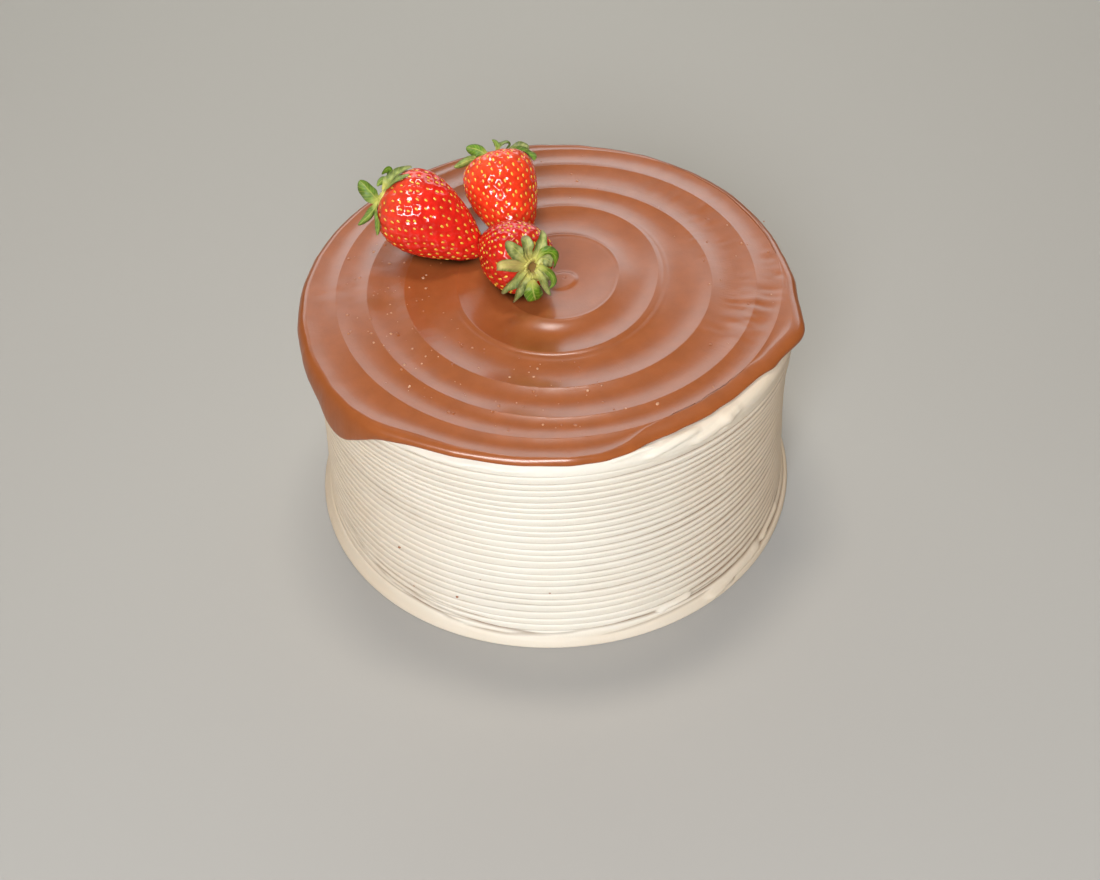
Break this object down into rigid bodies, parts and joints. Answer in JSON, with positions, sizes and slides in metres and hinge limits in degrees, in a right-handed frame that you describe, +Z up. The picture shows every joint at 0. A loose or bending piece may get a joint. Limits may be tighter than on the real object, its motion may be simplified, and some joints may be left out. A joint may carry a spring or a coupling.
{
  "type": "chocolate topped cream layer cake",
  "caption": "Tall round layer cake with combed coffee-cream sides, a swirled glossy chocolate top with a poured rim, and whole strawberries with leafy caps.",
  "frame": {"origin": "centre of the flat base of the cake body", "axes": "+Z up through the cake, -Y towards the front with the smooth cream band, +X to the right seen from the front"},
  "size_m": [0.204, 0.2031, 0.1363],
  "materials": {
    "cream": "soft matte cream icing, combed",
    "chocolate": "glossy milk chocolate ganache",
    "strawberry": "glossy red skin with golden seeds",
    "leaf": "satin green leaf"
  },
  "bodies": {
    "root": {"cake_body": "cream", "chocolate_top": "chocolate", "strawberry_left": "strawberry", "strawberry_back": "strawberry", "strawberry_front": "strawberry", "leaves_left": "leaf", "leaves_back": "leaf", "leaves_front": "leaf"}
  },
  "joints": []
}
